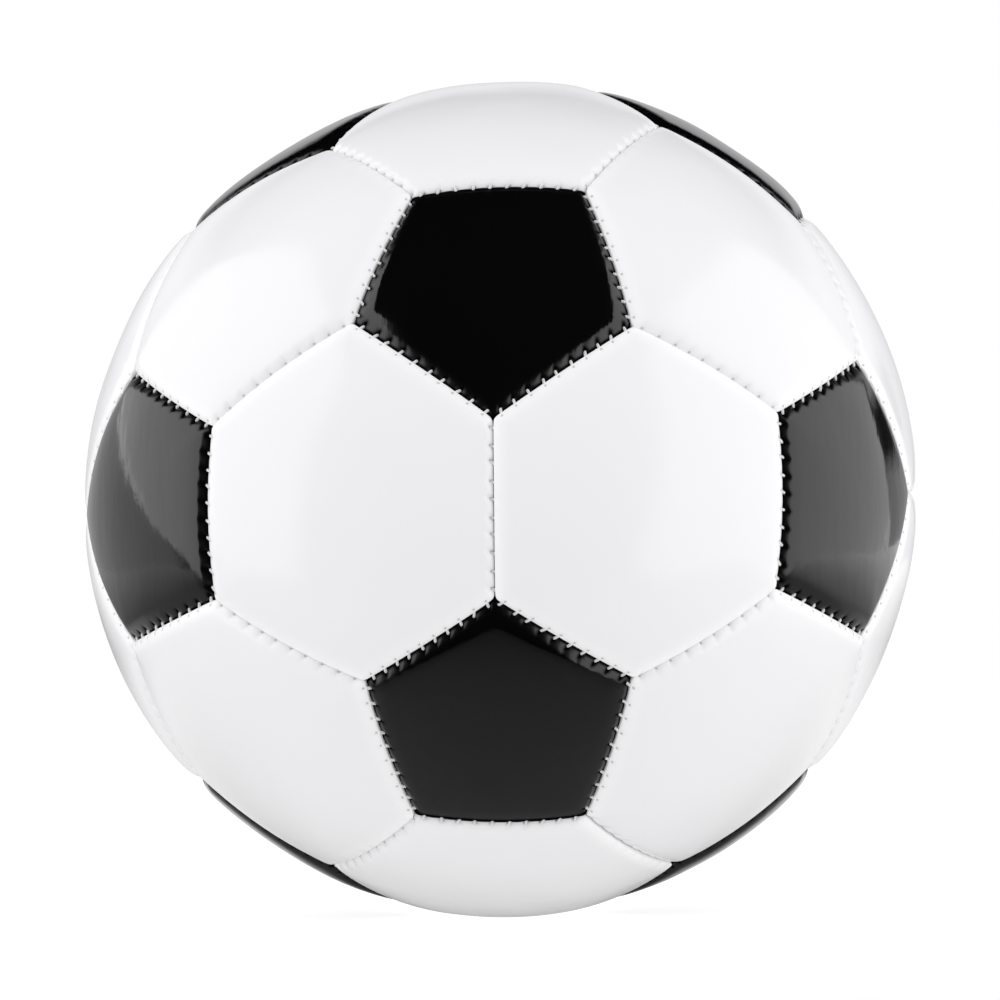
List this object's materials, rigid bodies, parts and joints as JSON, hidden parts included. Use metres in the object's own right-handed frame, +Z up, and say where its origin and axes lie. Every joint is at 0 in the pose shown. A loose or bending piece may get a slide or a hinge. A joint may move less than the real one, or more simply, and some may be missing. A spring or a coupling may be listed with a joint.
{
  "type": "mini soccer ball",
  "caption": "Small stitched football of glossy black pentagon and white hexagon panels over a rubber bladder, with a pull-out needle valve for inflation.",
  "frame": {"origin": "the ball's centre", "axes": "+Z up as pictured, the picture looks along +Y, +X to its right; a hexagon-to-hexagon seam crosses each axis"},
  "size_m": [0.143, 0.143, 0.143],
  "materials": {
    "black_pvc": "glossy soft PVC skin",
    "white_pvc": "glossy soft PVC skin",
    "foam": "fine closed-cell foam",
    "lining_cloth": "plain woven backing cloth",
    "thread": "twisted polyester sewing thread",
    "bladder_rubber": "matt moulded rubber",
    "patch_cloth": "rubberised cloth",
    "valve_rubber": "smooth moulded rubber"
  },
  "bodies": {
    "ball": {"black_panel_01": "black_pvc", "black_panel_02": "black_pvc", "black_panel_03": "black_pvc", "black_panel_04": "black_pvc", "black_panel_05": "black_pvc", "black_panel_06": "black_pvc", "black_panel_07": "black_pvc", "black_panel_08": "black_pvc", "black_panel_09": "black_pvc", "black_panel_10": "black_pvc", "black_panel_11": "black_pvc", "black_panel_12": "black_pvc", "white_panel_01": "white_pvc", "white_panel_02": "white_pvc", "white_panel_03": "white_pvc", "white_panel_04": "white_pvc", "white_panel_05": "white_pvc", "white_panel_06": "white_pvc", "white_panel_07": "white_pvc", "white_panel_08": "white_pvc", "white_panel_09": "white_pvc", "white_panel_10": "white_pvc", "white_panel_11": "white_pvc", "white_panel_12": "white_pvc", "white_panel_13": "white_pvc", "white_panel_14": "white_pvc", "white_panel_15": "white_pvc", "white_panel_16": "white_pvc", "white_panel_17": "white_pvc", "white_panel_18": "white_pvc", "white_panel_19": "white_pvc", "white_panel_20": "white_pvc", "pentagon_foam_pads": "foam", "hexagon_foam_pads": "foam", "pentagon_linings": "lining_cloth", "hexagon_linings": "lining_cloth", "pentagon_seam_threads": "thread", "hexagon_seam_threads": "thread", "bladder": "bladder_rubber", "valve_patch": "patch_cloth", "valve_housing": "valve_rubber"},
    "plug": {"valve_plug": "valve_rubber"}
  },
  "joints": [
    {"name": "valve_plug_pull", "type": "slide", "parent": "ball", "child": "plug", "axis": [-0.5774, 0.5774, 0.5774], "range_m": [0, 0.017]}
  ]
}
